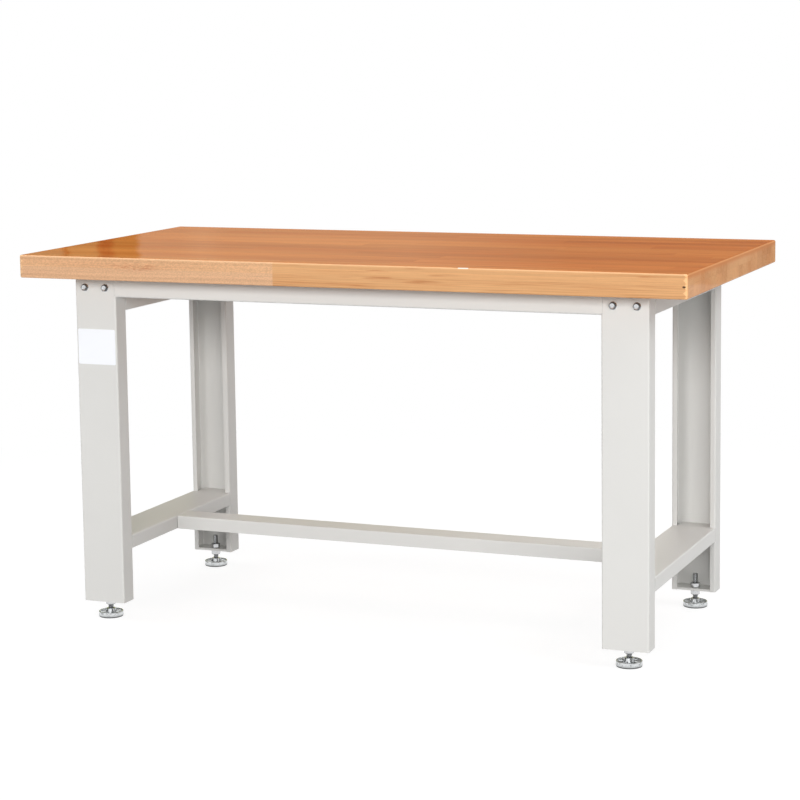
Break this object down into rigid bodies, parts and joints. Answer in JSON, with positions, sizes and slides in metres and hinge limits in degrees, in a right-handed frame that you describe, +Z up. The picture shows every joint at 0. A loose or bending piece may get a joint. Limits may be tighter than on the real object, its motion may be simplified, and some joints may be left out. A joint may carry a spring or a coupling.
{
  "type": "workbench",
  "caption": "Heavy duty workbench with a thick solid wood top on a bolted and welded folded sheet steel frame with adjustable levelling feet.",
  "frame": {"origin": "on the floor, under the middle of the worktop", "axes": "+Z up, +X along the bench to its right end, -Y towards the person who works at it"},
  "size_m": [1.5, 0.75, 0.818],
  "materials": {
    "worktop_wood": "lacquered",
    "frame_coating": "fine powder coat",
    "frame_bolts_zinc": "bright zinc plated",
    "worktop_screws_zinc": "zinc plated",
    "label_film": "satin film",
    "stud_zinc": "bright zinc plated thread",
    "foot_nut_zinc": "bright zinc plated",
    "ball_cup_zinc": "zinc plated",
    "pad_zinc": "cast, bright zinc plated",
    "sole_rubber": "matt"
  },
  "bodies": {
    "root": {"worktop": "worktop_wood", "front_left_leg": "frame_coating", "front_right_leg": "frame_coating", "rear_left_leg": "frame_coating", "rear_right_leg": "frame_coating", "front_left_foot_plate": "frame_coating", "front_right_foot_plate": "frame_coating", "rear_left_foot_plate": "frame_coating", "rear_right_foot_plate": "frame_coating", "upper_front_rail": "frame_coating", "upper_rear_rail": "frame_coating", "upper_left_rail": "frame_coating", "upper_right_rail": "frame_coating", "lower_left_rail": "frame_coating", "lower_right_rail": "frame_coating", "lower_stretcher": "frame_coating", "front_rail_bolts": "frame_bolts_zinc", "front_rail_nuts": "frame_bolts_zinc", "rear_rail_bolts": "frame_bolts_zinc", "rear_rail_nuts": "frame_bolts_zinc", "stretcher_bolts": "frame_bolts_zinc", "stretcher_nuts": "frame_bolts_zinc", "worktop_screws": "worktop_screws_zinc", "worktop_washers": "worktop_screws_zinc", "blank_label": "label_film"},
    "front_left_stud": {"front_left_foot_stud": "stud_zinc"},
    "front_left_adjusting_nut": {"front_left_adjusting_nut": "foot_nut_zinc"},
    "front_left_lock_nut": {"front_left_lock_nut": "foot_nut_zinc"},
    "front_left_cup": {"front_left_ball_cup": "ball_cup_zinc"},
    "front_left_pad": {"front_left_foot_pad": "pad_zinc", "front_left_foot_sole": "sole_rubber"},
    "front_right_stud": {"front_right_foot_stud": "stud_zinc"},
    "front_right_adjusting_nut": {"front_right_adjusting_nut": "foot_nut_zinc"},
    "front_right_lock_nut": {"front_right_lock_nut": "foot_nut_zinc"},
    "front_right_cup": {"front_right_ball_cup": "ball_cup_zinc"},
    "front_right_pad": {"front_right_foot_pad": "pad_zinc", "front_right_foot_sole": "sole_rubber"},
    "rear_left_stud": {"rear_left_foot_stud": "stud_zinc"},
    "rear_left_adjusting_nut": {"rear_left_adjusting_nut": "foot_nut_zinc"},
    "rear_left_lock_nut": {"rear_left_lock_nut": "foot_nut_zinc"},
    "rear_left_cup": {"rear_left_ball_cup": "ball_cup_zinc"},
    "rear_left_pad": {"rear_left_foot_pad": "pad_zinc", "rear_left_foot_sole": "sole_rubber"},
    "rear_right_stud": {"rear_right_foot_stud": "stud_zinc"},
    "rear_right_adjusting_nut": {"rear_right_adjusting_nut": "foot_nut_zinc"},
    "rear_right_lock_nut": {"rear_right_lock_nut": "foot_nut_zinc"},
    "rear_right_cup": {"rear_right_ball_cup": "ball_cup_zinc"},
    "rear_right_pad": {"rear_right_foot_pad": "pad_zinc", "rear_right_foot_sole": "sole_rubber"}
  },
  "joints": [
    {"name": "front_left_nut_turn", "type": "hinge", "parent": "root", "child": "front_left_adjusting_nut", "pos_m": [-0.603, -0.2755, 0.0325], "axis": [0, 0, 1], "range_deg": [-1080, 3240]},
    {"name": "front_left_lock_nut_turn", "type": "hinge", "parent": "root", "child": "front_left_lock_nut", "pos_m": [-0.603, -0.2755, 0.0485], "axis": [0, 0, 1], "range_deg": [-1080, 3240]},
    {"name": "front_left_foot_height", "type": "slide", "parent": "root", "child": "front_left_stud", "axis": [0, 0, 1], "range_m": [-0.01575, 0.00525]},
    {"name": "front_left_pad_tilt_side", "type": "hinge", "parent": "front_left_stud", "child": "front_left_cup", "pos_m": [-0.603, -0.2755, 0.012], "axis": [1, 0, 0], "range_deg": [-8, 8]},
    {"name": "front_left_pad_tilt_front", "type": "hinge", "parent": "front_left_cup", "child": "front_left_pad", "pos_m": [-0.603, -0.2755, 0.012], "axis": [0, 1, 0], "range_deg": [-8, 8]},
    {"name": "front_right_nut_turn", "type": "hinge", "parent": "root", "child": "front_right_adjusting_nut", "pos_m": [0.603, -0.2755, 0.0325], "axis": [0, 0, 1], "range_deg": [-1080, 3240]},
    {"name": "front_right_lock_nut_turn", "type": "hinge", "parent": "root", "child": "front_right_lock_nut", "pos_m": [0.603, -0.2755, 0.0485], "axis": [0, 0, 1], "range_deg": [-1080, 3240]},
    {"name": "front_right_foot_height", "type": "slide", "parent": "root", "child": "front_right_stud", "axis": [0, 0, 1], "range_m": [-0.01575, 0.00525]},
    {"name": "front_right_pad_tilt_side", "type": "hinge", "parent": "front_right_stud", "child": "front_right_cup", "pos_m": [0.603, -0.2755, 0.012], "axis": [1, 0, 0], "range_deg": [-8, 8]},
    {"name": "front_right_pad_tilt_front", "type": "hinge", "parent": "front_right_cup", "child": "front_right_pad", "pos_m": [0.603, -0.2755, 0.012], "axis": [0, 1, 0], "range_deg": [-8, 8]},
    {"name": "rear_left_nut_turn", "type": "hinge", "parent": "root", "child": "rear_left_adjusting_nut", "pos_m": [-0.603, 0.2425, 0.0325], "axis": [0, 0, 1], "range_deg": [-1080, 3240]},
    {"name": "rear_left_lock_nut_turn", "type": "hinge", "parent": "root", "child": "rear_left_lock_nut", "pos_m": [-0.603, 0.2425, 0.0485], "axis": [0, 0, 1], "range_deg": [-1080, 3240]},
    {"name": "rear_left_foot_height", "type": "slide", "parent": "root", "child": "rear_left_stud", "axis": [0, 0, 1], "range_m": [-0.01575, 0.00525]},
    {"name": "rear_left_pad_tilt_side", "type": "hinge", "parent": "rear_left_stud", "child": "rear_left_cup", "pos_m": [-0.603, 0.2425, 0.012], "axis": [1, 0, 0], "range_deg": [-8, 8]},
    {"name": "rear_left_pad_tilt_front", "type": "hinge", "parent": "rear_left_cup", "child": "rear_left_pad", "pos_m": [-0.603, 0.2425, 0.012], "axis": [0, 1, 0], "range_deg": [-8, 8]},
    {"name": "rear_right_nut_turn", "type": "hinge", "parent": "root", "child": "rear_right_adjusting_nut", "pos_m": [0.603, 0.2425, 0.0325], "axis": [0, 0, 1], "range_deg": [-1080, 3240]},
    {"name": "rear_right_lock_nut_turn", "type": "hinge", "parent": "root", "child": "rear_right_lock_nut", "pos_m": [0.603, 0.2425, 0.0485], "axis": [0, 0, 1], "range_deg": [-1080, 3240]},
    {"name": "rear_right_foot_height", "type": "slide", "parent": "root", "child": "rear_right_stud", "axis": [0, 0, 1], "range_m": [-0.01575, 0.00525]},
    {"name": "rear_right_pad_tilt_side", "type": "hinge", "parent": "rear_right_stud", "child": "rear_right_cup", "pos_m": [0.603, 0.2425, 0.012], "axis": [1, 0, 0], "range_deg": [-8, 8]},
    {"name": "rear_right_pad_tilt_front", "type": "hinge", "parent": "rear_right_cup", "child": "rear_right_pad", "pos_m": [0.603, 0.2425, 0.012], "axis": [0, 1, 0], "range_deg": [-8, 8]}
  ],
  "couplings": [
    {"joint": "front_left_nut_turn", "follows": "front_left_foot_height", "rad_per_m": -3590.4},
    {"joint": "front_left_lock_nut_turn", "follows": "front_left_foot_height", "rad_per_m": -3590.4},
    {"joint": "front_right_nut_turn", "follows": "front_right_foot_height", "rad_per_m": -3590.4},
    {"joint": "front_right_lock_nut_turn", "follows": "front_right_foot_height", "rad_per_m": -3590.4},
    {"joint": "rear_left_nut_turn", "follows": "rear_left_foot_height", "rad_per_m": -3590.4},
    {"joint": "rear_left_lock_nut_turn", "follows": "rear_left_foot_height", "rad_per_m": -3590.4},
    {"joint": "rear_right_nut_turn", "follows": "rear_right_foot_height", "rad_per_m": -3590.4},
    {"joint": "rear_right_lock_nut_turn", "follows": "rear_right_foot_height", "rad_per_m": -3590.4}
  ]
}
